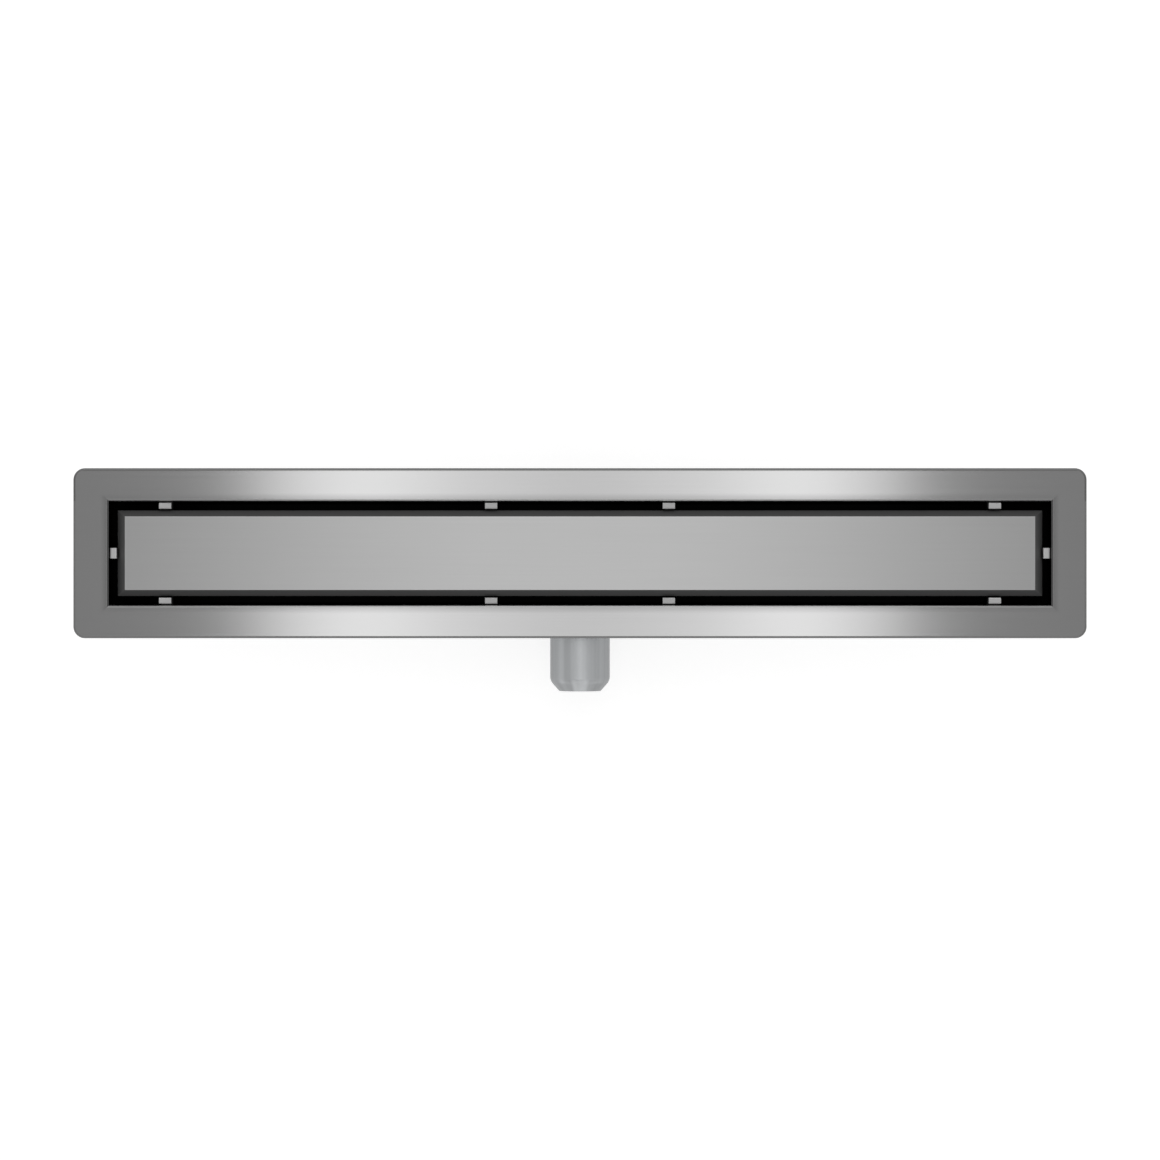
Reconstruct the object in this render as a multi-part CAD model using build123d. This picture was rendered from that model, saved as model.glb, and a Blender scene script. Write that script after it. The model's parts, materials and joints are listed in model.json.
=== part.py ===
from build123d import *
import os
from math import atan, degrees, sqrt

# Linear shower drain: a welded stainless channel with a side outlet, a lift-out cover and a removable trap.
# Millimetres. X runs along the channel, the outlet points to -Y, Z is up.
# The origin is the middle of the sump's flat base.

# Channel: one folded sheet, a flange round a trough whose floor falls to the middle
FLANGE_LENGTH = 700.0
FLANGE_WIDTH = 117.5
FLANGE_END_MARGIN = 24.7
FLANGE_SIDE_MARGIN = 22.85
FLANGE_CORNER_RADIUS = 8.0
FLANGE_BEVEL_WIDTH = 1.5
FLANGE_BEVEL_DROP = 0.8
CHANNEL_SHEET = 1.5
RIM_BEND = 0.5
FLOOR_BEND = 2.0
TROUGH_DEPTH = 25.0
TROUGH_FALL = 4.0
LEVEL_MARGIN = 9.0

# Cover: one folded sheet, a flat panel with a bevelled border and a skirt, which leaves a slot all round it
SIDE_SLOT = 6.3
END_SLOT = 5.45
COVER_SHEET = 1.2
COVER_HEIGHT = 12.0
COVER_BEVEL_DROP = 4.05
COVER_SIDE_BEVEL = 4.35
COVER_END_BEVEL = 5.65
COVER_EDGE_ROUND = 0.5

# Spacer clips: sprung steel strips that grip the cover's skirt and keep it centred in the opening
CLIP_SHEET = 0.8
CLIP_BEND = 0.5
CLIP_GRIP = 5.0
CLIP_PAD_DEPTH = 0.9
CLIP_DROP = 5.5
CLIP_JOGGLE_HEIGHT = 4.0
SIDE_CLIP_STANDOFF = 1.0
SIDE_CLIP_CLEARANCE = 0.9
SIDE_CLIP_WIDTH = 8.4
END_CLIP_STANDOFF = 0.25
END_CLIP_CLEARANCE = 0.5
END_CLIP_WIDTH = 7.2
INNER_CLIP_OFFSET = 61.4
CLIP_END_DISTANCE = 33.15

# Support bars: flat steel across the trough, under the clips, which carry the cover
BAR_WIDTH = 8.0
BAR_THICKNESS = 3.0

# Sump: a tube with a pressed base and a neck drawn out of its side, under the level part of the trough
SUMP_WALL = 1.2
SUMP_BASE_RADIUS = 3.0
SUMP_BASE_LIP = 0.8
SUMP_MARGIN = 0.9
SUMP_HEADROOM = 2.3

# Outlet spigot: a standard tube with a tapered nose, slipped over the sump's neck
SPIGOT_DIAMETER = 42.0
SPIGOT_WALL = 1.5
SPIGOT_PROJECTION = 37.4
SPIGOT_STANDOFF = 3.0
NECK_LAP = 6.0
NOSE_LENGTH = 7.0
NOSE_INSET = 6.2
NOSE_BEND = 7.0

# Outlet in the trough's floor: a hole with a drawn collar, which the trap plugs into
COLLAR_GAP = 2.3
COLLAR_DROP = 8.0
COLLAR_LEAD_IN = 1.0

# Trap: a moulded cup that plugs into the collar, with a dip tube pressed into it that reaches into the water
SEAL_DEPTH = 26.2
DIP_GAP = 10.0
PLUG_CLEARANCE = 0.3
PLUG_LENGTH = 10.0
TRAP_WALL = 1.8
TRAP_RIM_LAP = 4.0
TRAP_RIM_HEIGHT = 2.4
FUNNEL_LENGTH = 8.0
SOCKET_DEPTH = 6.0
DIP_TUBE_INSET = 7.0

# O-ring in the cup's groove
RING_SECTION = 2.4
RING_FACETS = 8
RING_CLEARANCE = 0.05
GROOVE_WIDTH = 3.0
GROOVE_DEPTH_BELOW_SEAT = 4.5

# Hair strainer: a moulded basket that drops into the cup's mouth
STRAINER_LEDGE = 3.0
STRAINER_RIM_HEIGHT = 1.2
STRAINER_CLEARANCE = 0.25
STRAINER_WALL = 1.2
STRAINER_DEPTH = 9.0
STRAINER_HOLE = 5.0
STRAINER_RING_PITCH = 7.6
STRAINER_RINGS = 2
STRAINER_RING_STEP = 6
KNOB_STEM_RADIUS = 2.2
KNOB_RADIUS = 4.5
KNOB_HEIGHT = 4.0
KNOB_RISE = 7.0

# Two levels or lines this close are the same
TOUCHING = 0.001

# Plan sizes that follow from the channel
opening_length = FLANGE_LENGTH - 2 * FLANGE_END_MARGIN
opening_width = FLANGE_WIDTH - 2 * FLANGE_SIDE_MARGIN
cover_length = opening_length - 2 * END_SLOT
cover_width = opening_width - 2 * SIDE_SLOT
outer_clip_offset = cover_length / 2 - CLIP_END_DISTANCE
sump_radius = opening_width / 2 - FLOOR_BEND - SUMP_MARGIN
sump_bore = sump_radius - SUMP_WALL
level_half_length = sump_radius + LEVEL_MARGIN
collar_bore = sump_bore - COLLAR_GAP - CHANNEL_SHEET
spigot_radius = SPIGOT_DIAMETER / 2
spigot_bore = spigot_radius - SPIGOT_WALL
spigot_start = sump_radius + SPIGOT_STANDOFF
spigot_end = FLANGE_WIDTH / 2 + SPIGOT_PROJECTION
neck_bore = spigot_bore - SUMP_WALL
neck_end = spigot_start + NECK_LAP

# Levels, from the sump's base up
base_top = SUMP_BASE_RADIUS + SUMP_BASE_LIP
dip_level = SUMP_WALL + DIP_GAP
spigot_level = dip_level + SEAL_DEPTH + neck_bore
sump_top = spigot_level + spigot_radius + SUMP_HEADROOM
floor_level = sump_top + CHANNEL_SHEET
flange_top = floor_level + TROUGH_DEPTH
skirt_level = flange_top - COVER_HEIGHT
hook_radius = (COVER_SHEET + CLIP_SHEET) / 2
hook_level = skirt_level - hook_radius - CLIP_SHEET / 2

# Trap sizes, from the collar inwards
plug_radius = collar_bore - PLUG_CLEARANCE
groove_radius = collar_bore - RING_SECTION
plug_bore = groove_radius - TRAP_WALL
dip_radius = collar_bore - DIP_TUBE_INSET
dip_bore = dip_radius - TRAP_WALL
groove_level = floor_level - GROOVE_DEPTH_BELOW_SEAT
ledge_radius = plug_bore + STRAINER_LEDGE
ledge_level = floor_level + TRAP_RIM_HEIGHT - STRAINER_RIM_HEIGHT
plug_end = floor_level - PLUG_LENGTH
funnel_end = plug_end - FUNNEL_LENGTH
socket_top = funnel_end + SOCKET_DEPTH


def box_between(length, width, low, high):
    """A block centred on the Z axis, between two levels."""
    return Pos(0, 0, (low + high) / 2) * Box(length, width, high - low)


def round_bar(radius, low, high):
    """A cylinder on the Z axis, between two levels."""
    return Pos(0, 0, (low + high) / 2) * Cylinder(radius, high - low)


def turned(*outline):
    """A body turned about the Z axis from an outline of (radius, level) points."""
    profile = Plane.XZ * make_face(Polyline(*outline, close=True))
    return revolve(profile, Axis.Z)


def trough_section(x, half_width, floor, bend):
    """The trough's section across the channel at x: open-topped, with round lower corners."""
    height = flange_top - floor
    section = Pos(0, floor + height / 2) * Rectangle(2 * half_width, height)
    section = fillet(section.vertices().group_by(Axis.Y)[0], bend)
    return Plane.YZ.offset(x) * section


def trough_block(inset):
    """The trough as a solid block, inset from its outer face: level in the middle, rising to both ends."""
    half_width = opening_width / 2 + CHANNEL_SHEET - inset
    half_length = opening_length / 2 + CHANNEL_SHEET - inset
    low = floor_level - CHANNEL_SHEET + inset
    bend = FLOOR_BEND + CHANNEL_SHEET - inset
    middle = trough_section(level_half_length, half_width, low, bend)
    end = trough_section(half_length, half_width, low + TROUGH_FALL, bend)
    level_part = extrude(middle, -2 * level_half_length)
    rising_part = loft([middle, end], ruled=True)
    return level_part + rising_part + mirror(rising_part, Plane.YZ)


def at_level(edges, level):
    """The edges that lie at one level."""
    return edges.filter_by(lambda edge: abs(edge.bounding_box().min.Z - level) < TOUCHING
                           and abs(edge.bounding_box().max.Z - level) < TOUCHING)


def within(edges, half_length, half_width):
    """The edges that lie inside a rectangle centred on the Z axis."""
    return edges.filter_by(lambda edge: abs(edge.center().X) < half_length + TOUCHING
                           and abs(edge.center().Y) < half_width + TOUCHING)


def make_channel():
    """Flange, trough, rolled rim and outlet collar as one folded and drawn sheet."""
    flange_under = flange_top - CHANNEL_SHEET
    outline = RectangleRounded(FLANGE_LENGTH, FLANGE_WIDTH, FLANGE_CORNER_RADIUS)
    bevel_level = flange_top - FLANGE_BEVEL_DROP
    bevel_angle = degrees(atan(FLANGE_BEVEL_WIDTH / FLANGE_BEVEL_DROP))
    flange = extrude(Pos(0, 0, flange_under) * outline, bevel_level - flange_under)
    flange += extrude(Pos(0, 0, bevel_level) * outline, FLANGE_BEVEL_DROP, taper=bevel_angle)
    channel = flange + trough_block(0) - trough_block(CHANNEL_SHEET)

    half_length = opening_length / 2
    half_width = opening_width / 2
    opening_edges = within(channel.edges(), half_length, half_width)
    channel = fillet(at_level(opening_edges, flange_top), RIM_BEND + CHANNEL_SHEET)
    wall_edges = within(channel.edges(), half_length + CHANNEL_SHEET, half_width + CHANNEL_SHEET)
    channel = fillet(at_level(wall_edges, flange_under), RIM_BEND)

    collar_level = sump_top - COLLAR_DROP
    collar = round_bar(collar_bore + CHANNEL_SHEET, collar_level, floor_level)
    bore = round_bar(collar_bore, collar_level, floor_level)
    channel = channel + collar - bore
    lip = at_level(channel.edges().filter_by(GeomType.CIRCLE), floor_level)
    return fillet(lip, COLLAR_LEAD_IN)


def bevel_reach(half_size, bevel, level, inset):
    """How far out a bevel's face lies at a level, for a face inset from the cover's outer one."""
    slope = bevel / COVER_BEVEL_DROP
    return half_size + slope * (flange_top - COVER_BEVEL_DROP - level) - inset * sqrt(1 + slope ** 2)


def cover_block(inset):
    """The cover as a solid block, inset from its outer faces: a box cut by the four slopes of its border."""
    top = flange_top - inset
    sections = []
    for level in (skirt_level, top):
        half_length = bevel_reach(cover_length / 2, COVER_END_BEVEL, level, inset)
        half_width = bevel_reach(cover_width / 2, COVER_SIDE_BEVEL, level, inset)
        sections.append(Pos(0, 0, level) * Rectangle(2 * half_length, 2 * half_width))
    box = box_between(cover_length - 2 * inset, cover_width - 2 * inset, skirt_level, top)
    return box & loft(sections, ruled=True)


def make_cover():
    """Flat panel, bevelled border and skirt, folded from one sheet with welded corners."""
    outside = cover_block(0)
    outer_edges = outside.edges().filter_by(lambda edge: edge.center().Z > skirt_level + TOUCHING)
    outside = fillet(outer_edges, COVER_EDGE_ROUND)
    return outside - cover_block(COVER_SHEET)


def make_clip(slot, standoff, clearance, width):
    """A strip folded round the skirt's lower edge, up its outside, then off it and out across the slot.

    It is drawn for a skirt whose outer face is at Y = 0, with the slot towards +Y.
    """
    half_sheet = CLIP_SHEET / 2
    bend = CLIP_BEND + half_sheet
    inside = -COVER_SHEET - half_sheet
    outside = half_sheet
    near = outside + standoff
    far = slot - clearance - half_sheet
    pad = flange_top - CLIP_PAD_DEPTH - half_sheet
    joggle = skirt_level + CLIP_JOGGLE_HEIGHT
    with BuildSketch(Plane.YZ) as section:
        with BuildLine():
            Line((inside, skirt_level + CLIP_GRIP), (inside, skirt_level))
            RadiusArc((inside, skirt_level), (outside, skirt_level), -hook_radius)
            FilletPolyline(
                (outside, skirt_level),
                (outside, joggle - standoff),
                (near, joggle + standoff),
                (near, pad),
                (far, pad),
                (far, pad - CLIP_DROP),
                radius=bend,
            )
        trace(line_width=CLIP_SHEET)
    return extrude(section.sketch, width / 2, both=True)


def along_outlet(shape):
    """Turns a shape made on the Z axis to point along the outlet, at the outlet's level."""
    return Pos(0, 0, spigot_level) * Rot(X=90) * shape


def make_sump():
    """A tube with the outlet's neck drawn out of its side, open to the trough above."""
    outside = round_bar(sump_radius, base_top, sump_top) + along_outlet(round_bar(spigot_bore, 0, neck_end))
    inside = round_bar(sump_bore, base_top, sump_top) + along_outlet(round_bar(neck_bore, 0, neck_end))
    return outside - inside


def make_base():
    """A pressed dish with a turned-up edge, which closes the sump."""
    outside = round_bar(sump_radius, 0, base_top)
    outside = fillet(at_level(outside.edges(), 0), SUMP_BASE_RADIUS)
    inside = round_bar(sump_bore, SUMP_WALL, base_top)
    inside = chamfer(at_level(inside.edges(), SUMP_WALL), SUMP_BASE_RADIUS - SUMP_WALL)
    return outside - inside


def make_spigot():
    """A tube with its open end drawn in to a taper."""
    middle = spigot_radius - SPIGOT_WALL / 2
    with BuildSketch(Plane.XZ) as section:
        with BuildLine():
            FilletPolyline(
                (middle, spigot_start),
                (middle, spigot_end - NOSE_LENGTH),
                (middle - NOSE_INSET, spigot_end),
                radius=NOSE_BEND,
            )
        trace(line_width=SPIGOT_WALL)
    return along_outlet(revolve(section.sketch, Axis.Z))


def make_bar():
    """A flat bar from wall to wall, which the clips' hooks rest on."""
    return box_between(BAR_WIDTH, opening_width, hook_level - BAR_THICKNESS, hook_level)


def make_cup():
    """Rim, grooved plug, funnel and socket, moulded in one piece."""
    rim_top = floor_level + TRAP_RIM_HEIGHT
    groove_top = groove_level + GROOVE_WIDTH / 2
    groove_bottom = groove_level - GROOVE_WIDTH / 2
    return turned(
        (ledge_radius, rim_top),
        (collar_bore + TRAP_RIM_LAP, rim_top),
        (collar_bore + TRAP_RIM_LAP, floor_level),
        (plug_radius, floor_level),
        (plug_radius, groove_top),
        (groove_radius, groove_top),
        (groove_radius, groove_bottom),
        (plug_radius, groove_bottom),
        (plug_radius, plug_end),
        (dip_radius + TRAP_WALL, funnel_end),
        (dip_radius, funnel_end),
        (dip_radius, socket_top),
        (dip_bore, socket_top),
        (plug_bore, plug_end),
        (plug_bore, ledge_level),
        (ledge_radius, ledge_level),
    )


def make_dip_tube():
    """A plain tube that hangs in the cup's socket."""
    return round_bar(dip_radius, dip_level, socket_top) - round_bar(dip_bore, dip_level, socket_top)


def make_ring():
    """The O-ring as it lies between the groove and the collar."""
    section = RegularPolygon(RING_SECTION / 2 - RING_CLEARANCE, RING_FACETS)
    section = Plane.XZ * Pos(groove_radius + RING_SECTION / 2, groove_level) * section
    return revolve(section, Axis.Z)


def make_strainer():
    """A perforated basket with a knob to lift it by."""
    rim_radius = ledge_radius - STRAINER_CLEARANCE
    basket_radius = plug_bore - STRAINER_CLEARANCE
    rim_top = ledge_level + STRAINER_RIM_HEIGHT
    basket_floor = rim_top - STRAINER_DEPTH
    knob_level = rim_top + KNOB_RISE
    basket = turned(
        (0, basket_floor),
        (basket_radius, basket_floor),
        (basket_radius, ledge_level),
        (rim_radius, ledge_level),
        (rim_radius, rim_top),
        (basket_radius - STRAINER_WALL, rim_top),
        (basket_radius - STRAINER_WALL, basket_floor + STRAINER_WALL),
        (KNOB_STEM_RADIUS, basket_floor + STRAINER_WALL),
        (KNOB_STEM_RADIUS, knob_level - KNOB_HEIGHT),
        (KNOB_RADIUS, knob_level - KNOB_HEIGHT / 2),
        (KNOB_STEM_RADIUS, knob_level),
        (0, knob_level),
    )
    hole = round_bar(STRAINER_HOLE / 2, basket_floor, basket_floor + STRAINER_WALL)
    for ring in range(1, STRAINER_RINGS + 1):
        basket -= PolarLocations(ring * STRAINER_RING_PITCH, ring * STRAINER_RING_STEP) * hole
    return basket


def build_parts():
    """Every piece of the drain in its place, by name."""
    parts = {
        "channel": make_channel(),
        "cover": make_cover(),
        "sump": make_sump(),
        "sump_base": make_base(),
        "outlet_spigot": make_spigot(),
        "trap_cup": make_cup(),
        "dip_tube": make_dip_tube(),
        "trap_o_ring": make_ring(),
        "hair_strainer": make_strainer(),
    }

    side_clip = make_clip(SIDE_SLOT, SIDE_CLIP_STANDOFF, SIDE_CLIP_CLEARANCE, SIDE_CLIP_WIDTH)
    clip_offsets = (-outer_clip_offset, -INNER_CLIP_OFFSET, INNER_CLIP_OFFSET, outer_clip_offset)
    for number, x in enumerate(clip_offsets, 1):
        parts[f"support_bar_{number}"] = Pos(x, 0, 0) * make_bar()
        parts[f"spacer_clip_back_{number}"] = Pos(x, cover_width / 2, 0) * side_clip
        parts[f"spacer_clip_front_{number}"] = Pos(x, -cover_width / 2, 0) * Rot(Z=180) * side_clip

    end_clip = make_clip(END_SLOT, END_CLIP_STANDOFF, END_CLIP_CLEARANCE, END_CLIP_WIDTH)
    parts["spacer_clip_right"] = Pos(cover_length / 2, 0, 0) * Rot(Z=-90) * end_clip
    parts["spacer_clip_left"] = Pos(-cover_length / 2, 0, 0) * Rot(Z=90) * end_clip
    return parts


os.makedirs("parts", exist_ok=True)
for name, shape in build_parts().items():
    export_step(shape, f"parts/{name}.step")
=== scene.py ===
import json
from math import atan2, cos, degrees, pi, radians, sin, sqrt, tan
from typing import NamedTuple

import bpy
from mathutils import Matrix, Vector


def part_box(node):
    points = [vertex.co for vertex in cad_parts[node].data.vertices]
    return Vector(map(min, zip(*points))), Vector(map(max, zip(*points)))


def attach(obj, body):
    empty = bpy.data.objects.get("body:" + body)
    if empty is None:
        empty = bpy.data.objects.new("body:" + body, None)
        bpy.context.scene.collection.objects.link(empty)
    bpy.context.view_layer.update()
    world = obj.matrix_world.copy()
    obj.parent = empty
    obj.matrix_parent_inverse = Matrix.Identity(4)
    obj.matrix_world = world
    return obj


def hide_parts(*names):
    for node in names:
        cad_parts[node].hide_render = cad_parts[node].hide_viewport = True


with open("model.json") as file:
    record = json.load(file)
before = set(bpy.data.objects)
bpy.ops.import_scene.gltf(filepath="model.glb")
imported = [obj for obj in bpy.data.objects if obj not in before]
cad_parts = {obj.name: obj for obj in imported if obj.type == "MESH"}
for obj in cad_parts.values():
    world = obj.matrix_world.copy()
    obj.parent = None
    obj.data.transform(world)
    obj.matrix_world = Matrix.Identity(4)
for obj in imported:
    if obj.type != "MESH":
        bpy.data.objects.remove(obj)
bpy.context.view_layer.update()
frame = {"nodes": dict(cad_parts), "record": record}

# Lengths are in metres and angles in degrees
MM = 0.001

# The photograph's frame, in its own pixels: the flange's length, and its middle above the frame's middle
PHOTO_PIXELS = 1160
FLANGE_PIXELS = 1013.5
FLANGE_RISE_PIXELS = 26.8

# Places on the part
channel_low, channel_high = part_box("channel")
cover_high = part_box("cover")[1]
sump_low, sump_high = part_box("sump")
spigot_low, spigot_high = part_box("outlet_spigot")
flange_top = channel_high.z
sump_radius = sump_high.x
spigot_radius = spigot_high.x
spigot_level = (spigot_low.z + spigot_high.z) / 2

# The opening in the flange, which the record states through the slots on both of its sides
SLOT_BOX_MARGIN = 0.3 * MM
openings = {entry["name"]: entry["box_m"] for entry in frame["record"]["physics"]["openings"]}
opening_half_length = openings["slot_right_back"][1][0] + SLOT_BOX_MARGIN
opening_half_width = openings["slot_back_middle"][1][1] + SLOT_BOX_MARGIN

# Sheets, spigot and welds
CHANNEL_SHEET = 1.5 * MM
SIDE_BEVEL_WIDTH = 4.35 * MM
END_BEVEL_WIDTH = 5.65 * MM
SPIGOT_WALL = 1.5 * MM
NOSE_LENGTH = 7.0 * MM
NOSE_INSET = 6.2 * MM
NOSE_BEND = 7.0 * MM
NOSE_STEPS = 10
NECK_ROOT = 2.4 * MM
NECK_ROOT_SINK = 0.4 * MM
NECK_ROOT_STEPS = 6
LATHE_STEPS = 192
TUBE_SHARP_ANGLE = 25
BEAD_SHARP_ANGLE = 60
BEAD_SIDES = 12
RIPPLE_PITCH = 1.3 * MM
RIPPLE_STEPS = 5
RIPPLE_DEPTH = 0.16
RIPPLE_BOW = 0.9
TROUGH_BEAD = 1.3 * MM
TROUGH_BEAD_OUT = 0.3 * MM
BASE_BEAD = 0.9 * MM
BASE_BEAD_IN = 0.6 * MM
OUTLET_BEAD = 0.95 * MM
OUTLET_BEAD_IN = 0.9 * MM
OUTLET_BEAD_BACK = 0.2 * MM
CORNER_BEAD = 0.6 * MM
CORNER_BEAD_IN = 0.35 * MM
CORNER_BEAD_DEPTH = 20.0 * MM
SEAM_BEAD = 0.55 * MM
SEAM_BEAD_IN = 0.3 * MM
SEAM_ANGLE = 60.0


class Finish(NamedTuple):
    """A steel's finish: its tone, its gloss, its grain, and how much streaks and clouds vary the tone."""
    tone: float
    roughness: float
    anisotropy: float
    along: tuple
    streaks: tuple
    contrast: float = 0.05
    clouding: float = 0.03


# Grain directions, which lean a little so that no face lies square to one
ALONG_CHANNEL = (1.0, 0.02, 0.01)
ALONG_OUTLET = (0.02, 1.0, 0.01)
ALONG_SUMP = (0.02, 0.01, 1.0)

# Noise: its scales per metre along X, Y and Z, and its detail
CHANNEL_STREAKS = (9.0, 900.0, 900.0)
OUTLET_STREAKS = (500.0, 6.0, 500.0)
SUMP_STREAKS = (500.0, 500.0, 6.0)
WELD_STREAKS = (600.0, 600.0, 600.0)
STEEL_CLOUDS = (11.0, 17.0, 17.0)
OUTLET_BANDS = (190.0, 2.0, 190.0)
WELD_SPOTS = (260.0, 260.0, 260.0)
HEAT_WAVES = (90.0, 90.0, 90.0)
PLASTIC_GRAIN = (2500.0, 2500.0, 2500.0)
PLASTIC_CLOUDS = (40.0, 40.0, 40.0)
RUBBER_BLOOM = (300.0, 300.0, 300.0)
NO_SHIFT = (0.0, 0.0, 0.0)
# Shifted so that a light band lies along the outlet's top: a painted highlight
OUTLET_BAND_SHIFT_FOR_PAINTED_HIGHLIGHT = (20.75, 0.0, 0.0)
COARSE_DETAIL = 1.0
USUAL_DETAIL = 2.0
FINE_DETAIL = 3.0
USUAL_ROUGHNESS = 0.5
STREAK_ROUGHNESS = 0.6

# The steels' finishes
FLANGE = Finish(
    tone=0.405, roughness=0.214, anisotropy=0.9,
    along=ALONG_CHANNEL, streaks=CHANNEL_STREAKS, contrast=0.04, clouding=0.02,
)
PANEL = Finish(
    tone=0.393, roughness=0.39, anisotropy=0.5,
    along=ALONG_CHANNEL, streaks=CHANNEL_STREAKS, contrast=0.03, clouding=0.02,
)
CLIP = Finish(
    tone=0.41, roughness=0.55, anisotropy=0.0,
    along=ALONG_CHANNEL, streaks=CHANNEL_STREAKS, contrast=0.03, clouding=0.01,
)
SUMP = Finish(
    tone=0.36, roughness=0.36, anisotropy=0.4,
    along=ALONG_SUMP, streaks=SUMP_STREAKS, contrast=0.08,
)
OUTLET = Finish(
    tone=0.512, roughness=0.36, anisotropy=0.8,
    along=ALONG_OUTLET, streaks=OUTLET_STREAKS, contrast=0.08,
)
WELD = Finish(
    tone=0.42, roughness=0.38, anisotropy=0.0,
    along=ALONG_CHANNEL, streaks=WELD_STREAKS, contrast=0.1,
)
# The bars' tone is painted shade: nearly black for the dark of the trough
BAR = Finish(
    tone=0.03, roughness=0.5, anisotropy=0.2,
    along=ALONG_OUTLET, streaks=OUTLET_STREAKS,
)
ROUGHNESS_SPREAD = 0.02

# Ramps over the surfaces: where each one starts and ends, and its value at the start and at the end.
# A span is a start and an end alone: its values vary over the surface.
# All but the heat colours' reaches paint shade and highlights into the tone, or mark where it is painted
# Painted shade beside the flange's inner fold, and painted highlight and shade on the fold itself
PAINTED_SHADE_BESIDE_FOLD_SPAN = (1.5 * MM, 6.5 * MM)
PAINTED_SHADE_BESIDE_SIDE_FOLD = (200.0 * MM, 300.0 * MM, 0.78, 0.92)
ON_SIDE_FOLD = (0.8 * MM, 1.5 * MM, 1.0, 0.0)
ON_END_FOLD = (1.7 * MM, 2.4 * MM, 1.0, 0.0)
SIDE_FOLD_PAINTED_LIGHT_AND_SHADE = (170.0 * MM, 310.0 * MM, 1.52, 0.66)
# Painted shade beside the flange's back edge
PAINTED_SHADE_BESIDE_BACK_EDGE = (1.5 * MM, 2.2 * MM, 0.55, 1.0)
# Painted shade down the trough's walls, below the rim
SIDE_WALL_PAINTED_SHADE = (1.3 * MM, 9.0 * MM, 0.0, 1.0)
END_WALL_PAINTED_SHADE = (1.3 * MM, 1.9 * MM, 0.0, 1.0)
ON_BEVEL = (0.0, 0.35 * MM, 0.0, 1.0)
# A painted highlight along the cover's fold, at the panel's edge
FOLD_PAINTED_HIGHLIGHT = (-0.7 * MM, -0.3 * MM, 1.0, 1.12)
# Painted shade towards the ends of the cover's panel
PANEL_END_PAINTED_SHADE = (60.0 * MM, 330.0 * MM, 1.0, 0.935)
# Painted shade on the clips down in the slot, painted light on the outer clips, a painted highlight on
# bends
CLIP_PAINTED_SHADE = (1.8 * MM, 3.0 * MM, 1.0, 0.02)
OUTER_CLIPS_PAINTED_LIGHT = (240.0 * MM, 330.0 * MM, 1.0, 1.2)
CLIP_BEND_PAINTED_HIGHLIGHT = (0.8, 0.98, 1.6, 1.0)
# Painted shade down the outlet's flanks, and a painted highlight along its top over the bend and the nose
OUTLET_FLANK_PAINTED_SHADE = (3.0 * MM, 11.0 * MM, 1.0, 0.7)
ON_NOSE = (7.2 * MM, 9.0 * MM, 1.0, 0.0)
NOSE_PAINTED_HIGHLIGHT = (0.1 * MM, 1.4 * MM, 0.957, 0.66)
NOSE_BEND_SPAN = (4.7 * MM, 6.9 * MM)
NOSE_BEND_PAINTED_HIGHLIGHT = (4.0 * MM, 10.0 * MM, 1.38, 1.05)
HEAT_BLUE_REACH = (2.5 * MM, 7.0 * MM, 0.5, 0.0)
HEAT_STRAW_REACH = (1.0 * MM, 4.0 * MM, 0.7, 0.0)
# Painted shade on the plastic near the trough, by its depth below the sump's top
PLASTIC_OUT_OF_PAINTED_SHADE = (5.0 * MM, 9.0 * MM, 0.0, 1.0)

# Shares of a steel's tone, most of them painted shade, limits and colours
# Painted shade beside and on the flange's end folds
PAINTED_SHADE_BESIDE_END_FOLD = 0.78
END_FOLD_PAINTED_SHADE = 0.35
# Painted shade on the flange's outer edge, at the front and at the back
FRONT_EDGE_PAINTED_SHADE = 0.62
BACK_EDGE_PAINTED_SHADE = 0.43
# Painted shade: the share of the tone left down inside the trough, nearly black
INSIDE_PAINTED_SHADE = 0.002
# Painted shade on the cover's bevels, standing for their reflection of the dark slot
SIDE_BEVEL_PAINTED_SHADE = 0.216
END_BEVEL_PAINTED_SHADE = 0.2875
BEVEL_ROUGHNESS = 0.6
FLAT_FACING = 0.96
UNDERSIDE_FACING = -0.05
EDGE_DISTANCE = 15.0 * MM
TOPSIDE_DEPTH = 1.45 * MM
WALL_REACH = 0.75 * MM
BAND_LOW = 0.75
BAND_HIGH = 1.25
BORE_ROUGHNESS = 0.75
OUTLET_CAST = (0.975, 1.0, 1.02)
HEAT_STRAW = (0.86, 0.68, 0.42, 1.0)
HEAT_BLUE = (0.62, 0.68, 0.86, 1.0)
HEAT_WANDER = 2.0 * MM
SEAM_HEAT_NARROWING = 2.0
WELD_HEAT_REACH = 9.0 * MM
TRAP_TONE = 0.02
STRAINER_TONE = 0.05
# The share of the plastic's tone in its painted shade near the trough
PLASTIC_PAINTED_SHADE_SHARE = 0.2
PLASTIC_CLOUDING = 0.1
PLASTIC_GRAIN_DEPTH = 0.02 * MM
PLASTIC_GLOSS = 0.4
# The plastic's gloss in its painted shade near the trough
PLASTIC_PAINTED_SHADE_GLOSS = 0.02
PLASTIC_ROUGHNESS = (0.45, 0.6)
RUBBER_TONES = (0.015, 0.03)
RUBBER_ROUGHNESS = (0.55, 0.75)

# Floor, world, light and camera
FLOOR_SIZE = 60.0
FLOOR_SHADOW = 0.56
FLOOR_GLOW = 0.66
FLOOR_TONE = 0.8
HORIZON = 0.12
HORIZON_FADE = 0.13

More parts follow.
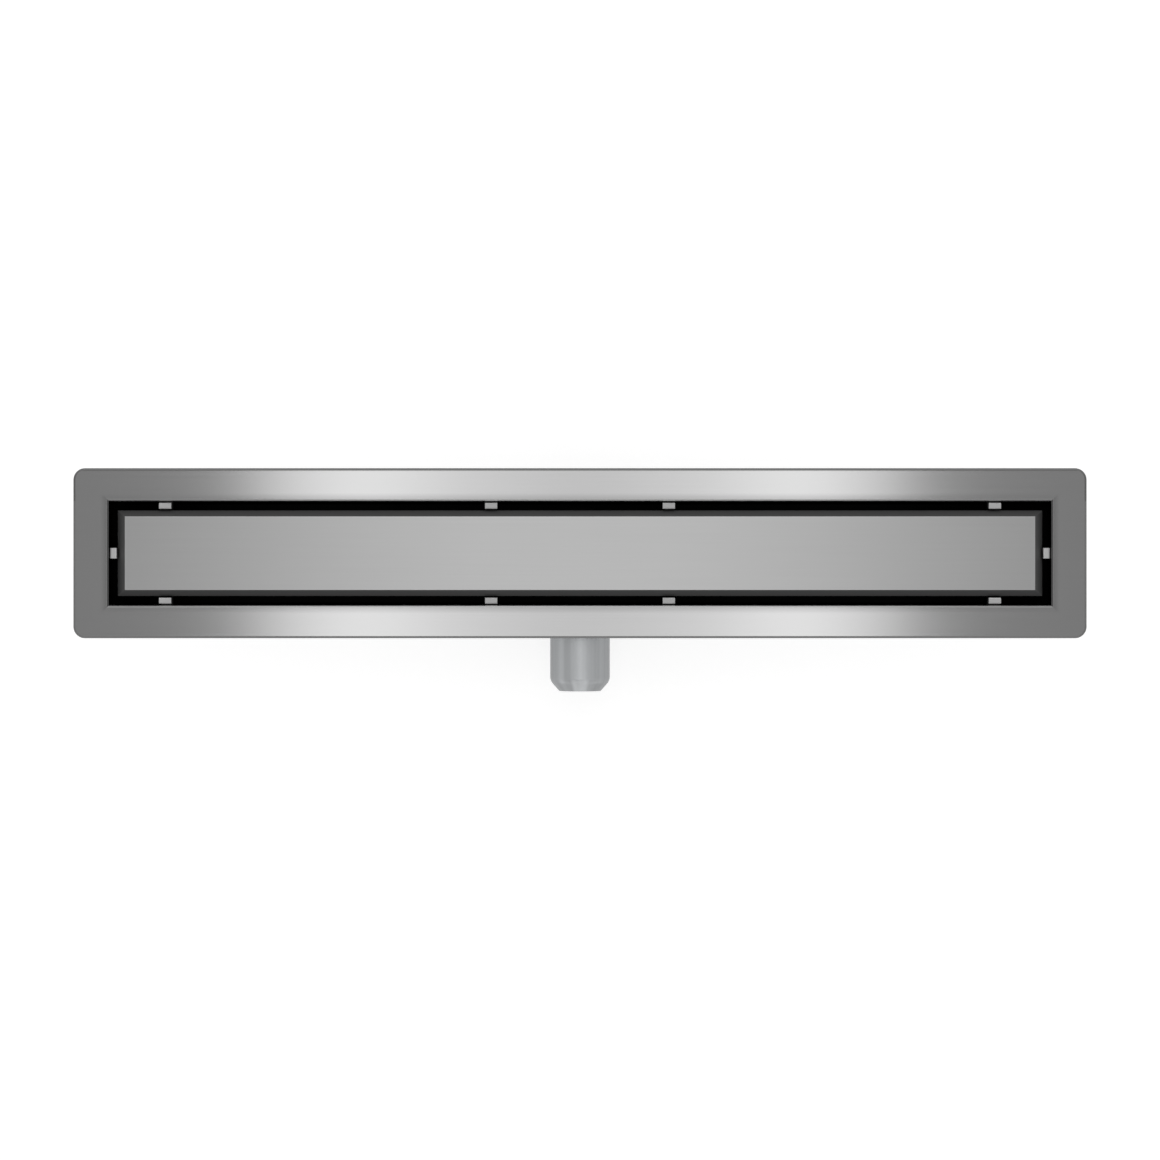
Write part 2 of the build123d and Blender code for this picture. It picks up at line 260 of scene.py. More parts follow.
# The world's levels: how high a direction points, from 0 level to 1 straight up, and how bright it is there
WORLD_LEVELS = (
    (0.0, 1.0),
    (HORIZON, 1.0),
    (HORIZON + HORIZON_FADE, 0.8),
    (0.8, 0.7),
    (0.93, 0.45),
    (0.975, 0.4),
)
WORLD_SIDE_MIDDLE = 0.78
WORLD_SIDE_SLOPE = 0.18
WORLD_SIDE_BOW = 0.34
ZENITH_SPREAD = 2.0
LEAST_DIVISOR = 0.001

# Where a new stop of the world's levels is put before it gets its own height
NEW_STOP_HEIGHT = 0.5

# The strips of light on each side of the middle: their near and far edges, and their radiance
LIGHT_HEIGHT = 2.0
STRIP_DEPTH = 2.4
STRIPS = (
    (0.0, 0.06, 0.845),
    (0.06, 0.18, 1.03),
    (0.18, 0.24, 1.44),
    (0.24, 0.32, 1.83),
    (0.32, 0.41, 1.37),
)

CAMERA_DISTANCE = 2.4
CAMERA_REACH = 50.0
SENSOR_MM = 36.0

# A Mix node's sockets for its share and the two things that it mixes, and its output
MIX_VALUE_SOCKETS = (0, 2, 3)
MIX_VALUE_OUTPUT = 0
MIX_COLOUR_SOCKETS = (0, 6, 7)
MIX_COLOUR_OUTPUT = 2


# Node graphs

class Graph:
    """The node tree of a material or a world, with short ways to add and join its nodes.
    A steel's graph also keeps its streaked and clouded tone."""

    def __init__(self, owner, shader):
        owner.use_nodes = True
        self.owner = owner
        self.tree = owner.node_tree
        self.shader = self.tree.nodes[shader]
        self.tone = None

    def node(self, kind, **settings):
        made = self.tree.nodes.new(kind)
        for key, value in settings.items():
            setattr(made, key, value)
        return made

    def join(self, value, socket):
        """Links an output to a socket, or sets a plain value on it."""
        if isinstance(value, bpy.types.NodeSocket):
            self.tree.links.new(value, socket)
        else:
            socket.default_value = value

    def join_all(self, values, sockets):
        for value, socket in zip(values, sockets):
            self.join(value, socket)

    def shade(self, name, value):
        """Links an output to one of the shader's sockets, or sets a plain value on it."""
        self.join(value, self.shader.inputs[name])

    def math(self, operation, first, second=0.0, clamp=False):
        made = self.node("ShaderNodeMath", operation=operation, use_clamp=clamp)
        self.join_all((first, second), made.inputs)
        return made.outputs[0]

    def product(self, first, *others):
        for other in others:
            first = self.math("MULTIPLY", first, other)
        return first

    def apart(self, first, second):
        """How far apart two values are."""
        return self.math("ABSOLUTE", self.math("SUBTRACT", first, second))

    def ramp(self, value, start, end, at_start, at_end):
        """Goes smoothly from one value to another between a start and an end, and no further."""
        made = self.node("ShaderNodeMapRange", interpolation_type="SMOOTHSTEP")
        self.join_all((value, start, end, at_start, at_end), made.inputs)
        return made.outputs[0]

    def spread(self, value, low, high):
        """Maps 0..1 to low..high in a straight line."""
        made = self.node("ShaderNodeMapRange", clamp=False)
        self.join_all((value, 0.0, 1.0, low, high), made.inputs)
        return made.outputs[0]

    def blend(self, share, first, second):
        """The first value, or the second where the share is 1."""
        made = self.node("ShaderNodeMix", data_type="FLOAT")
        self.join_all((share, first, second), [made.inputs[number] for number in MIX_VALUE_SOCKETS])
        return made.outputs[MIX_VALUE_OUTPUT]

    def mix(self, share, first, second, blend_type="MIX"):
        """Mixes two colours."""
        made = self.node("ShaderNodeMix", data_type="RGBA", blend_type=blend_type)
        self.join_all((share, first, second), [made.inputs[number] for number in MIX_COLOUR_SOCKETS])
        return made.outputs[MIX_COLOUR_OUTPUT]

    def split(self, vector):
        """A vector's X, Y and Z, as three outputs."""
        made = self.node("ShaderNodeSeparateXYZ")
        self.join(vector, made.inputs[0])
        return made.outputs

    def vector(self, x, y, z):
        """A vector from its X, Y and Z."""
        made = self.node("ShaderNodeCombineXYZ")
        self.join_all((x, y, z), made.inputs)
        return made.outputs[0]

    def place(self, kind="Object"):
        """The point's place in the part's frame, or another kind of coordinates, as three outputs."""
        return self.split(self.node("ShaderNodeTexCoord").outputs[kind])

    def from_axis(self, x, y):
        """A point's distance from an axis, by its two places across the axis."""
        return self.math("SQRT", self.math("ADD", self.product(x, x), self.product(y, y)))

    def facing(self):
        """The way the surface faces, as three outputs."""
        return self.split(self.node("ShaderNodeNewGeometry").outputs["Normal"])

    def noise(self, scale, detail=USUAL_DETAIL, roughness=USUAL_ROUGHNESS, shift=NO_SHIFT, at=None):
        """Noise whose three scales, per metre, may differ, so that it can be drawn out into streaks.
        The shift, in grains of the noise, chooses another part of it. It may be read at another point."""
        mapping = self.node("ShaderNodeMapping")
        self.join(at or self.node("ShaderNodeTexCoord").outputs["Object"], mapping.inputs["Vector"])
        self.join(scale, mapping.inputs["Scale"])
        self.join(shift, mapping.inputs["Location"])
        texture = self.node("ShaderNodeTexNoise")
        self.join(mapping.outputs[0], texture.inputs["Vector"])
        self.join(1.0, texture.inputs["Scale"])
        self.join(detail, texture.inputs["Detail"])
        self.join(roughness, texture.inputs["Roughness"])
        return texture.outputs["Fac"]

    def grain(self, along):
        """Turns the shader's stretched highlight across the grain, whichever way the surface faces."""
        across = self.node("ShaderNodeVectorMath", operation="CROSS_PRODUCT")
        self.join(self.node("ShaderNodeNewGeometry").outputs["Normal"], across.inputs[0])
        self.join(along, across.inputs[1])
        self.shade("Tangent", across.outputs[0])


def grey(tone):
    return (tone, tone, tone, 1.0)


def new_material(name):
    return Graph(bpy.data.materials.new(name), "Principled BSDF")


# Steels

def brushed_steel(name, finish):
    """Brushed or drawn stainless: fine streaks along the grain, over faint clouds of tone."""
    graph = new_material(name)
    fine = graph.noise(finish.streaks, FINE_DETAIL, STREAK_ROUGHNESS)
    clouds = graph.noise(STEEL_CLOUDS)
    streaked = graph.spread(fine, 1 - finish.contrast, 1 + finish.contrast)
    clouded = graph.spread(clouds, 1 - finish.clouding, 1 + finish.clouding)
    graph.tone = graph.product(streaked, clouded, finish.tone)
    low, high = finish.roughness - ROUGHNESS_SPREAD, finish.roughness + ROUGHNESS_SPREAD
    graph.shade("Metallic", 1.0)
    graph.shade("Roughness", graph.spread(fine, low, high))
    graph.shade("Anisotropic", finish.anisotropy)
    graph.grain(finish.along)
    return graph


def heat_tinted(graph, colour, distance):
    """A weld's heat colours over a colour: straw next to the weld, then blue, then none."""
    wander = graph.spread(graph.noise(HEAT_WAVES), -HEAT_WANDER, HEAT_WANDER)
    away = graph.math("ADD", distance, wander)
    blue = graph.mix(graph.ramp(away, *HEAT_BLUE_REACH), grey(1.0), HEAT_BLUE)
    heat = graph.mix(graph.ramp(away, *HEAT_STRAW_REACH), blue, HEAT_STRAW)
    return graph.mix(1.0, colour, heat, "MULTIPLY")


def painted(graph, tone, cast=(1.0, 1.0, 1.0), heat=None):
    """Finishes a steel: its tone with a faint cast, and heat colours by the distance to a weld."""
    colour = graph.node("ShaderNodeCombineColor")
    graph.join_all([graph.product(tone, share) for share in cast], colour.inputs)
    shown = colour.outputs[0]
    if heat is not None:
        shown = heat_tinted(graph, shown, heat)
    graph.shade("Base Color", shown)
    return graph.owner


def outside_of(graph, half_length, half_width, end_share=1.0):
    """How far a point lies outside a rectangle round the origin, seen from above (less than 0 inside),
    and 1 where that is past one of its ends. Past the ends, a share of the distance counts."""
    x, y = graph.place()[:2]
    past_end = graph.math("SUBTRACT", graph.math("ABSOLUTE", x), half_length)
    past_end = graph.product(past_end, end_share)
    past_side = graph.math("SUBTRACT", graph.math("ABSOLUTE", y), half_width)
    at_end = graph.math("GREATER_THAN", past_end, past_side)
    return graph.math("MAXIMUM", past_end, past_side), at_end


def fold_painted_light_and_shade(graph, past, at_end):
    """Painted shade and highlight at the flange's inner fold: painted shade beside it, and on it a painted
    highlight in the middle of the long sides, with painted shade towards their ends and on the end folds.
    """
    from_middle = graph.math("ABSOLUTE", graph.place()["X"])
    # Painted shade beside the fold
    painted_shade_beside_fold = graph.blend(at_end, graph.ramp(from_middle, *PAINTED_SHADE_BESIDE_SIDE_FOLD), PAINTED_SHADE_BESIDE_END_FOLD)
    beside = graph.ramp(past, *PAINTED_SHADE_BESIDE_FOLD_SPAN, painted_shade_beside_fold, 1.0)
    # Painted highlight on the middle of the long folds, painted shade at their ends and on the end folds
    on_fold = graph.blend(at_end, graph.ramp(past, *ON_SIDE_FOLD), graph.ramp(past, *ON_END_FOLD))
    painted_fold_light = graph.blend(at_end, graph.ramp(from_middle, *SIDE_FOLD_PAINTED_LIGHT_AND_SHADE), END_FOLD_PAINTED_SHADE)
    return graph.product(beside, graph.blend(on_fold, 1.0, painted_fold_light))


def edge_painted_shade(graph, past):
    """Painted shade at the flange's outer edge: on its tilted rim, and beside it at the back."""
    y = graph.place()["Y"]
    tilted = graph.math("LESS_THAN", graph.facing()["Z"], FLAT_FACING)
    on_edge = graph.product(tilted, graph.math("GREATER_THAN", past, EDGE_DISTANCE))
    at_back = graph.math("GREATER_THAN", y, opening_half_width)
    beside = graph.ramp(graph.math("SUBTRACT", channel_high.y, y), *PAINTED_SHADE_BESIDE_BACK_EDGE)
    return graph.blend(on_edge, beside, graph.spread(at_back, FRONT_EDGE_PAINTED_SHADE, BACK_EDGE_PAINTED_SHADE))


def channel_steel():
    """The channel's sheet: bright on the flange, with painted shade and highlight at its fold and outer
    edge, painted shade, nearly black, down in the trough, and the sump's weld below.
    """
    graph = brushed_steel("channel_steel", FLANGE)
    x, y, z = graph.place()
    past, at_end = outside_of(graph, opening_half_length, opening_half_width)
    depth = graph.math("SUBTRACT", flange_top, z)
    on_top = graph.math("LESS_THAN", depth, TOPSIDE_DEPTH)
    # Painted highlight and shade on the flange's fold and outer edge
    flange = graph.product(fold_painted_light_and_shade(graph, past, at_end), edge_painted_shade(graph, past))
    topside = graph.blend(on_top, 1.0, flange)
    # Painted shade, nearly black, down inside the trough below the rim
    within = graph.math("LESS_THAN", past, WALL_REACH)
    down = graph.blend(at_end, graph.ramp(depth, *SIDE_WALL_PAINTED_SHADE), graph.ramp(depth, *END_WALL_PAINTED_SHADE))
    shown = graph.blend(graph.product(within, down), topside, INSIDE_PAINTED_SHADE)
    above = graph.math("GREATER_THAN", graph.facing()["Z"], UNDERSIDE_FACING)
    tone = graph.product(graph.tone, graph.blend(above, 1.0, shown))
    to_weld = graph.apart(graph.from_axis(x, y), sump_radius)
    return painted(graph, tone, heat=graph.math("ADD", to_weld, above))


def cover_steel():
    """The cover's sheet: satin on the panel with painted shade towards its ends, dark on the bevel as a
    painted reflection of the dark slot, and a painted highlight along the fold.
    """
    graph = brushed_steel("cover_steel", PANEL)
    panel_half_length = cover_high.x - END_BEVEL_WIDTH
    panel_half_width = cover_high.y - SIDE_BEVEL_WIDTH
    mitre = SIDE_BEVEL_WIDTH / END_BEVEL_WIDTH
    past, at_end = outside_of(graph, panel_half_length, panel_half_width, mitre)
    on_bevel = graph.ramp(past, *ON_BEVEL)
    # Painted shade on the bevel, a painted reflection of the dark slot
    bevel_painted_shade = graph.spread(at_end, SIDE_BEVEL_PAINTED_SHADE, END_BEVEL_PAINTED_SHADE)
    # Painted shade towards the panel's ends
    panel_painted_shade = graph.ramp(graph.math("ABSOLUTE", graph.place()["X"]), *PANEL_END_PAINTED_SHADE)
    share = graph.blend(on_bevel, panel_painted_shade, bevel_painted_shade)
    graph.shade("Roughness", graph.spread(on_bevel, PANEL.roughness, BEVEL_ROUGHNESS))
    # A painted highlight along the fold between panel and bevel
    return painted(graph, graph.product(graph.tone, graph.ramp(past, *FOLD_PAINTED_HIGHLIGHT), share))


def clip_steel():
    """Blanked spring strip: satin on its pad, with a painted highlight on its bend, painted light on the
    outer clips, and painted shade where it goes down in the slot.
    """
    graph = brushed_steel("clip_steel", CLIP)
    place = graph.place()
    # Painted shade down in the slot, painted light on the outer clips, and a painted highlight on the bends
    dark = graph.ramp(graph.math("SUBTRACT", flange_top, place["Z"]), *CLIP_PAINTED_SHADE)
    outer = graph.ramp(graph.math("ABSOLUTE", place["X"]), *OUTER_CLIPS_PAINTED_LIGHT)
    bend = graph.ramp(graph.facing()["Z"], *CLIP_BEND_PAINTED_HIGHLIGHT)
    return painted(graph, graph.product(graph.tone, dark, outer, bend))


def sump_seam(depth):
    """Where the sump's lengthwise seam stands in plan, so far inside its outer face."""
    angle = radians(SEAM_ANGLE)
    return (sump_radius - depth) * cos(angle), (sump_radius - depth) * sin(angle)


def sump_steel():
    """The sump's tube and base, with heat colours at their welds and along the tube's seam."""
    graph = brushed_steel("pipe_steel", SUMP)
    x, y, z = graph.place()
    to_trough = graph.apart(z, sump_high.z)
    to_wall = graph.apart(graph.from_axis(x, y), sump_radius)
    to_base = graph.math("MAXIMUM", graph.apart(z, sump_low.z), to_wall)
    seam_x, seam_y = sump_seam(0.0)
    beside_seam = graph.math("MAXIMUM", graph.apart(x, seam_x), graph.apart(y, seam_y))
    to_seam = graph.product(beside_seam, SEAM_HEAT_NARROWING)
    nearest = graph.math("MINIMUM", to_seam, graph.math("MINIMUM", to_trough, to_base))
    return painted(graph, graph.tone, heat=nearest)


def outlet_painted_light_and_shade(graph, below_top, from_tip):
    """Painted light and shade on the outlet: painted shade down its flanks, and a painted highlight along
    its top that goes on over the bend and the nose.
    """
    flank = graph.ramp(below_top, *OUTLET_FLANK_PAINTED_SHADE)
    bend = graph.ramp(from_tip, *NOSE_BEND_SPAN, 1.0, graph.ramp(below_top, *NOSE_BEND_PAINTED_HIGHLIGHT))
    nose = graph.product(graph.ramp(below_top, *NOSE_PAINTED_HIGHLIGHT), bend)
    return graph.blend(graph.ramp(from_tip, *ON_NOSE), flank, nose)


def outlet_steel():
    """The outlet's drawn tube: lengthwise bands of tone, a rough bore, and heat colours at its weld.
    The bands are read on the tube's outer face, straight out from the axis, so they go on over the nose.
    The bands are shifted so that a light one lies along the top as a painted highlight, and painted light
    and shade lie on the flanks and the nose."""
    graph = brushed_steel("outlet_steel", OUTLET)
    x, y, z = graph.place()
    over_axis = graph.math("SUBTRACT", z, spigot_level)
    widening = graph.math("DIVIDE", spigot_radius, graph.from_axis(x, over_axis))
    tube_height = graph.product(over_axis, widening)
    on_tube = graph.vector(graph.product(x, widening), y, tube_height)
    # Random lengthwise bands, with a light one along the top as a painted highlight
    bands = graph.noise(OUTLET_BANDS, COARSE_DETAIL, shift=OUTLET_BAND_SHIFT_FOR_PAINTED_HIGHLIGHT, at=on_tube)
    below_top = graph.math("SUBTRACT", spigot_radius, tube_height)
    share = outlet_painted_light_and_shade(graph, below_top, graph.math("SUBTRACT", y, spigot_low.y))
    tone = graph.product(graph.tone, graph.spread(bands, BAND_LOW, BAND_HIGH), share)
    facing = graph.facing()
    outward = graph.math("ADD", graph.product(facing["X"], x), graph.product(facing["Z"], over_axis))
    in_bore = graph.math("LESS_THAN", outward, 0.0)
    graph.shade("Roughness", graph.blend(in_bore, OUTLET.roughness, BORE_ROUGHNESS))
    return painted(graph, tone, OUTLET_CAST, heat=graph.apart(y, spigot_high.y))


def weld_steel():
    """A weld bead: brighter and rougher than the sheet, with straw and blue in it."""
    graph = brushed_steel("weld_steel", WELD)
    return painted(graph, graph.tone, heat=graph.spread(graph.noise(WELD_SPOTS), 0.0, WELD_HEAT_REACH))


def bar_steel():
    """The support bars, their tone painted nearly black as painted shade for the dark of the trough."""
    graph = brushed_steel("bar_steel", BAR)
    return painted(graph, graph.tone)


# Plastics and rubber

def moulded_plastic(name, tone):
    """Matt black moulded plastic with a fine spark-eroded grain, and painted shade where it nears the
    trough:
    darker there, with less gloss.
    """
    graph = new_material(name)
    # Painted shade near the trough: darker and less glossy there
    lit = graph.ramp(graph.math("SUBTRACT", sump_high.z, graph.place()["Z"]), *PLASTIC_OUT_OF_PAINTED_SHADE)
    fine = graph.noise(PLASTIC_GRAIN, FINE_DETAIL)
    clouded = graph.spread(graph.noise(PLASTIC_CLOUDS), 1 - PLASTIC_CLOUDING, 1 + PLASTIC_CLOUDING)
    shown = graph.product(clouded, graph.spread(lit, PLASTIC_PAINTED_SHADE_SHARE * tone, tone))
    graph.shade("Base Color", graph.mix(shown, grey(0.0), grey(1.0)))
    graph.shade("Specular IOR Level", graph.spread(lit, PLASTIC_PAINTED_SHADE_GLOSS, PLASTIC_GLOSS))
    graph.shade("Roughness", graph.spread(fine, *PLASTIC_ROUGHNESS))
    bump = graph.node("ShaderNodeBump")
    graph.join(1.0, bump.inputs["Strength"])
    graph.join(PLASTIC_GRAIN_DEPTH, bump.inputs["Distance"])
    graph.join(fine, bump.inputs["Height"])
    graph.shade("Normal", bump.outputs[0])
    return graph.owner


def seal_rubber():
    """Black rubber with a faint bloom."""
    graph = new_material("seal_rubber")
    bloom = graph.noise(RUBBER_BLOOM, FINE_DETAIL)
    low, high = RUBBER_TONES
    graph.shade("Base Color", graph.mix(bloom, grey(low), grey(high)))
    graph.shade("Roughness", graph.spread(bloom, *RUBBER_ROUGHNESS))
    return graph.owner


# New pieces

def skin_faces(row_count, count, closed):
    """The faces between rows of points, each row a loop. The last row joins the first, or both get
    an end face."""
    last = row_count - 1
    faces = []
    for here in range(row_count if closed else last):
        start = here * count
        ahead = (here + 1) % row_count * count
        for number in range(count):
            after = (number + 1) % count
            faces.append((start + number, start + after, ahead + after, ahead + number))
    if not closed:
        faces.append(tuple(reversed(range(count))))
        faces.append(tuple(range(last * count, row_count * count)))
    return faces


def skinned(name, rows, material, closed=True, sharp_angle=BEAD_SHARP_ANGLE):
    """A piece skinned over rows of points. Edges that turn by more than the angle are sharp."""
    points = [point for row in rows for point in row]
    mesh = bpy.data.meshes.new(name)
    mesh.from_pydata(points, [], skin_faces(len(rows), len(rows[0]), closed))
    mesh.shade_smooth()
    mesh.set_sharp_from_angle(angle=radians(sharp_angle))
    mesh.materials.append(material)
    piece = bpy.data.objects.new(name, mesh)
    bpy.context.scene.collection.objects.link(piece)
    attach(piece, "root")
    return piece


def turned(points, angle, place):
    """A row of (radius, height) points, turned clockwise by an angle in radians, so that faces look out."""
    x, y = cos(angle), -sin(angle)
    return [place @ Vector((radius * x, radius * y, height)) for radius, height in points]


def arc(centre, radius, start, end, steps):
    """Points along an arc in an outline's plane."""
    points = []
    for step in range(steps + 1):
        angle = radians(start + (end - start) * step / steps)
        points.append((centre[0] + radius * cos(angle), centre[1] + radius * sin(angle)))
    return points


def bead_section(size, travel):
    """The outline of a weld bead at a distance along it, swollen by ripples that bow towards its edges."""
    points = []
    for number in range(BEAD_SIDES):
        turn = 2 * pi * number / BEAD_SIDES
        ripple = abs(sin(pi * travel / RIPPLE_PITCH + RIPPLE_BOW * cos(turn)))
        swell = size * (1 + RIPPLE_DEPTH * ripple)
        points.append((swell * cos(turn), swell * sin(turn)))
    return points


def round_weld(name, radius, height, size, place):
    """A weld bead round an axis, centred at a radius and a height along it."""
    ripples = round(2 * pi * radius / RIPPLE_PITCH)
    steps = ripples * RIPPLE_STEPS
    rows = []
    for step in range(steps):
        section = bead_section(size, ripples * RIPPLE_PITCH * step / steps)
        outline = [(radius + out, height + up) for out, up in section]
        rows.append(turned(outline, 2 * pi * step / steps, place))
    skinned(name, rows, materials["weld_steel"])


def upright_weld(name, x, y, low, high, size):
    """A weld bead that stands upright."""
    steps = round((high - low) / RIPPLE_PITCH * RIPPLE_STEPS)
    rows = []
    for step in range(steps + 1):
        travel = (high - low) * step / steps
        section = bead_section(size, travel)
        rows.append([Vector((x + out, y + aside, low + travel)) for out, aside in section])
    skinned(name, rows, materials["weld_steel"], closed=False)


def on_sump(radius, turn):
    """The point of the sump's outer face that lies in front of a circle round the outlet's axis."""
    x = radius * cos(turn)
    return Vector((x, -sqrt(sump_radius ** 2 - x ** 2), spigot_level + radius * sin(turn)))


def neck_root():
    """The round root where the neck is drawn out of the sump's side, sunk into both at its corner."""
    neck_radius = spigot_radius - SPIGOT_WALL
    turns = [2 * pi * step / LATHE_STEPS for step in range(LATHE_STEPS)]
    rows = []
    for across in range(NECK_ROOT_STEPS + 1):
        share = across / NECK_ROOT_STEPS
        row = []
        for turn in turns:
            edge = on_sump(neck_radius + NECK_ROOT, turn)
            corner = on_sump(neck_radius, turn)
            on_neck = corner - Vector((0.0, NECK_ROOT, 0.0))
            row.append(edge.lerp(corner, share).lerp(corner.lerp(on_neck, share), share))
        rows.append(row)
    sink = Vector((0.0, NECK_ROOT_SINK, 0.0))
    rows.append([on_sump(neck_radius - NECK_ROOT_SINK, turn) + sink for turn in turns])
    skinned("neck_root", rows, materials["pipe_steel"])


def spigot_tube():
    """The outlet's tube with its drawn-in nose, finer than the node that it stands for."""
    half_wall = SPIGOT_WALL / 2
    near, far = -spigot_high.y, -spigot_low.y
    slope = atan2(NOSE_INSET, NOSE_LENGTH)
    middle = spigot_radius - half_wall
    tip = far - half_wall * sin(slope)
    bend_centre = (middle - NOSE_BEND, tip - NOSE_LENGTH - NOSE_BEND * tan(slope / 2))
    outer = arc(bend_centre, NOSE_BEND + half_wall, 0, degrees(slope), NOSE_STEPS)
    inner = arc(bend_centre, NOSE_BEND - half_wall, degrees(slope), 0, NOSE_STEPS)
    nose = Vector((middle - NOSE_INSET, tip))
    across = Vector((cos(slope), sin(slope))) * half_wall
    outline = [(spigot_radius, near), *outer, nose + across, nose - across, *inner]
    outline.append((spigot_radius - SPIGOT_WALL, near))
    rows = [turned(outline, 2 * pi * step / LATHE_STEPS, outlet_axis) for step in range(LATHE_STEPS)]
    steel = materials["outlet_steel"]
    piece = skinned("spigot_tube", rows, steel, sharp_angle=TUBE_SHARP_ANGLE)
    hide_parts("outlet_spigot")


def sump_welds():
    """The beads that join sump, trough, base and outlet, and the sump's seam."""
    upright = Matrix.Identity(4)
    top = sump_high.z - TROUGH_BEAD_OUT
    round_weld("weld_sump_top", sump_radius + TROUGH_BEAD_OUT, top, TROUGH_BEAD, upright)
    round_weld("weld_sump_base", sump_radius - BASE_BEAD_IN, sump_low.z, BASE_BEAD, upright)
    root = -spigot_high.y - OUTLET_BEAD_BACK
    round_weld("weld_outlet", spigot_radius - OUTLET_BEAD_IN, root, OUTLET_BEAD, outlet_axis)
    seam_x, seam_y = sump_seam(SEAM_BEAD_IN)
    upright_weld("weld_sump_seam", seam_x, seam_y, sump_low.z, sump_high.z, SEAM_BEAD)


def corner_welds():
    """The beads down the trough's four corners."""
    x = opening_half_length + CHANNEL_SHEET - CORNER_BEAD_IN
    y = opening_half_width + CHANNEL_SHEET - CORNER_BEAD_IN
    low = flange_top - CORNER_BEAD_DEPTH
    high = flange_top - CHANNEL_SHEET
    for depth_name, depth_sign in (("front", -1), ("back", 1)):
        for side_name, side_sign in (("left", -1), ("right", 1)):
            name = f"weld_corner_{depth_name}_{side_name}"
            upright_weld(name, side_sign * x, depth_sign * y, low, high, CORNER_BEAD)


# Stage

def seen_directly(graph):
    """1 for camera, glossy and transmission rays, 0 for the rest."""
    light_path = graph.node("ShaderNodeLightPath").outputs
    mirrored = graph.math("MAXIMUM", light_path["Is Glossy Ray"], light_path["Is Transmission Ray"])
    return graph.math("MAXIMUM", light_path["Is Camera Ray"], mirrored)


def make_floor():
    """A wide pale floor: white where it is seen, with the object's soft shadow on it."""
    bpy.ops.mesh.primitive_plane_add(size=FLOOR_SIZE)
    floor = bpy.context.object
    floor.name = "floor"
    graph = new_material("pale_floor")
    shadowed = graph.node("ShaderNodeBsdfDiffuse")
    graph.join(grey(FLOOR_SHADOW), shadowed.inputs["Color"])
    glow = graph.node("ShaderNodeEmission")
    graph.join(FLOOR_GLOW, glow.inputs["Strength"])
    seen = graph.node("ShaderNodeAddShader")
    graph.join(shadowed.outputs[0], seen.inputs[0])
    graph.join(glow.outputs[0], seen.inputs[1])
    lit = graph.node("ShaderNodeBsdfDiffuse")
    graph.join(grey(FLOOR_TONE), lit.inputs["Color"])
    choice = graph.node("ShaderNodeMixShader")
    graph.join(seen_directly(graph), choice.inputs[0])
    graph.join(lit.outputs[0], choice.inputs[1])
    graph.join(seen.outputs[0], choice.inputs[2])
    graph.join(choice.outputs[0], graph.tree.nodes["Material Output"].inputs["Surface"])
    graph.tree.nodes.remove(graph.shader)
    floor.data.materials.append(graph.owner)


def world_levels(graph, z):
    """The studio's level by height: white at the horizon, dimmer overhead."""
    levels = graph.node("ShaderNodeValToRGB")
    graph.join(z, levels.inputs[0])
    stops = levels.color_ramp.elements
    while len(stops) < len(WORLD_LEVELS):
        stops.new(NEW_STOP_HEIGHT)
    for stop, (height, level) in zip(stops, WORLD_LEVELS):
        stop.position = height
        stop.color = grey(level)
    return levels.outputs[0]


def make_world():
    """A soft grey studio, brighter behind the channel than in front of it and off its ends."""
    graph = Graph(bpy.data.worlds.new("studio"), "Background")
    x, y, z = graph.place("Generated")
    away = graph.from_axis(x, y)
    to_back = graph.math("DIVIDE", y, graph.math("MAXIMUM", away, LEAST_DIVISOR))
    bowed = graph.product(to_back, to_back, WORLD_SIDE_BOW)
    sloped = graph.math("ADD", graph.product(to_back, WORLD_SIDE_SLOPE), WORLD_SIDE_MIDDLE)
    side = graph.math("ADD", bowed, sloped)
    above_horizon = graph.math("DIVIDE", graph.math("SUBTRACT", z, HORIZON), HORIZON_FADE, clamp=True)
    off_zenith = graph.math("MULTIPLY", graph.product(away, away), ZENITH_SPREAD, clamp=True)
    graph.shade("Color", world_levels(graph, z))
    graph.shade("Strength", graph.blend(graph.product(above_horizon, off_zenith), 1.0, side))
    bpy.context.scene.world = graph.owner


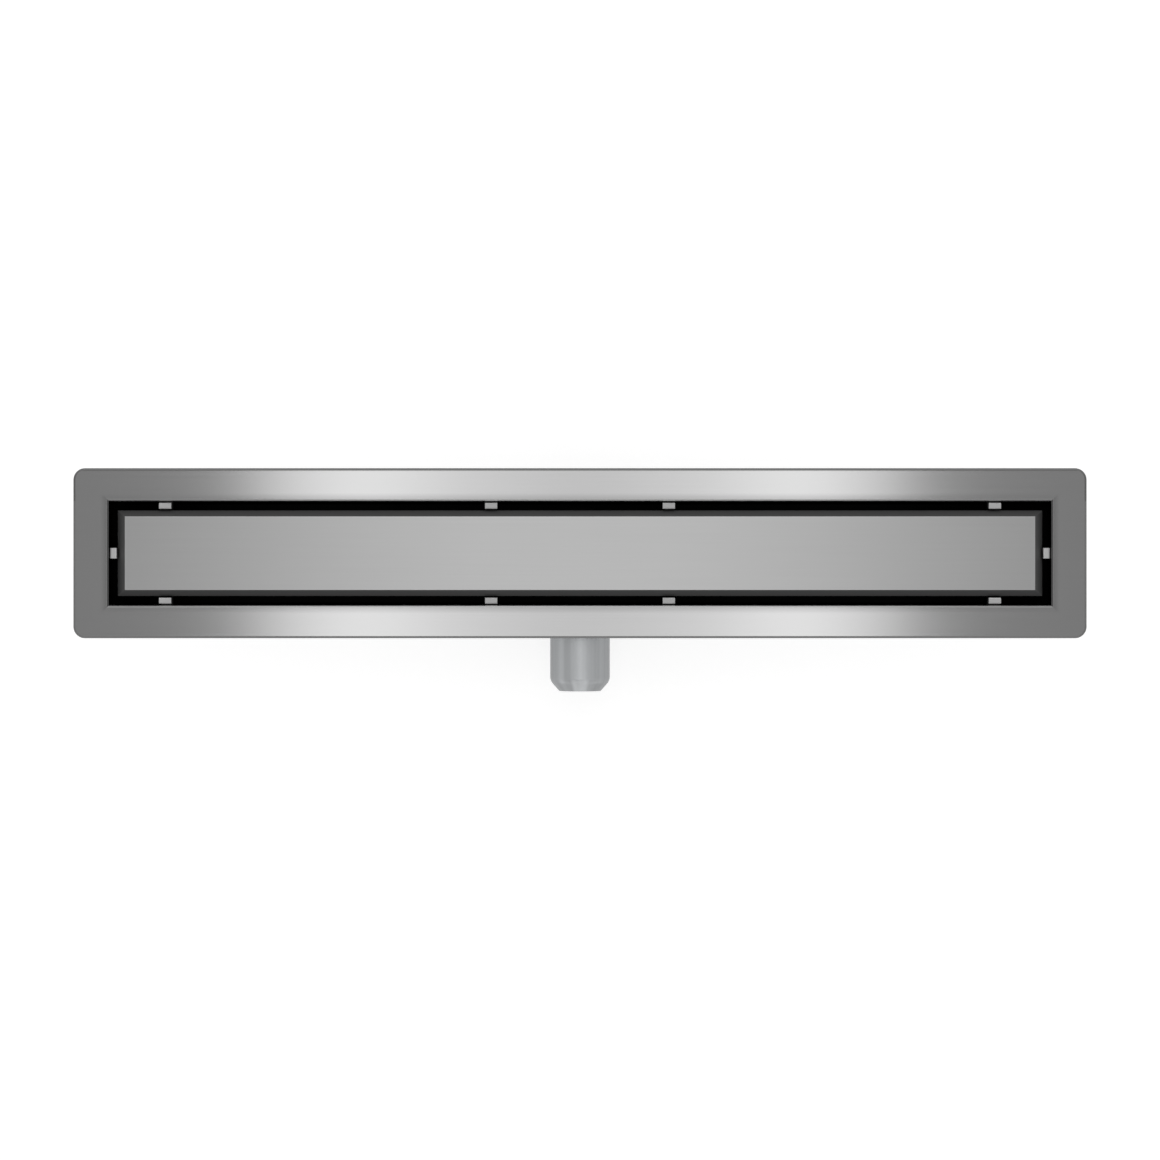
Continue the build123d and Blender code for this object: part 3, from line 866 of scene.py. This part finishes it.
def make_softbox(name, x, width, radiance):
    """A flat strip of light over the channel, facing down and not seen itself."""
    light = bpy.data.lights.new(name, "AREA")
    light.shape = "RECTANGLE"
    light.size = width
    light.size_y = STRIP_DEPTH
    light.energy = radiance * pi * width * STRIP_DEPTH
    softbox = bpy.data.objects.new(name, light)
    softbox.location = (x, 0.0, flange_top + LIGHT_HEIGHT)
    softbox.visible_camera = False
    bpy.context.scene.collection.objects.link(softbox)


def make_camera():
    """Looks straight down, framed as the photograph is."""
    pixel = (channel_high.x - channel_low.x) / FLANGE_PIXELS
    data = bpy.data.cameras.new("camera")
    data.sensor_width = SENSOR_MM
    data.lens = SENSOR_MM * CAMERA_DISTANCE / (pixel * PHOTO_PIXELS)
    data.clip_end = CAMERA_REACH
    camera = bpy.data.objects.new("camera", data)
    camera.location = (0.0, -pixel * FLANGE_RISE_PIXELS, flange_top + CAMERA_DISTANCE)
    bpy.context.scene.collection.objects.link(camera)
    bpy.context.scene.camera = camera


# The finish of every node, by the record's material slots, and two finishes for new pieces alone
materials = {
    "channel_steel": channel_steel(),
    "cover_steel": cover_steel(),
    "clip_steel": clip_steel(),
    "pipe_steel": sump_steel(),
    "bar_steel": bar_steel(),
    "trap_plastic": moulded_plastic("trap_plastic", TRAP_TONE),
    "strainer_plastic": moulded_plastic("strainer_plastic", STRAINER_TONE),
    "seal_rubber": seal_rubber(),
    "outlet_steel": outlet_steel(),
    "weld_steel": weld_steel(),
}
for entry in frame["record"]["subparts"]:
    for material_slot in frame["nodes"][entry["node"]].material_slots:
        material_slot.material = materials[entry["material_slot"]]

outlet_axis = Matrix.Translation((0.0, 0.0, spigot_level)) @ Matrix.Rotation(pi / 2, 4, "X")
spigot_tube()
neck_root()
sump_welds()
corner_welds()

make_floor()
make_world()
for number, (near, far, radiance) in enumerate(STRIPS, 1):
    for side, sign in (("left", -1), ("right", 1)):
        make_softbox(f"strip_{side}_{number}", sign * (near + far) / 2, far - near, radiance)
make_camera()

bpy.context.scene.view_settings.view_transform = "Standard"
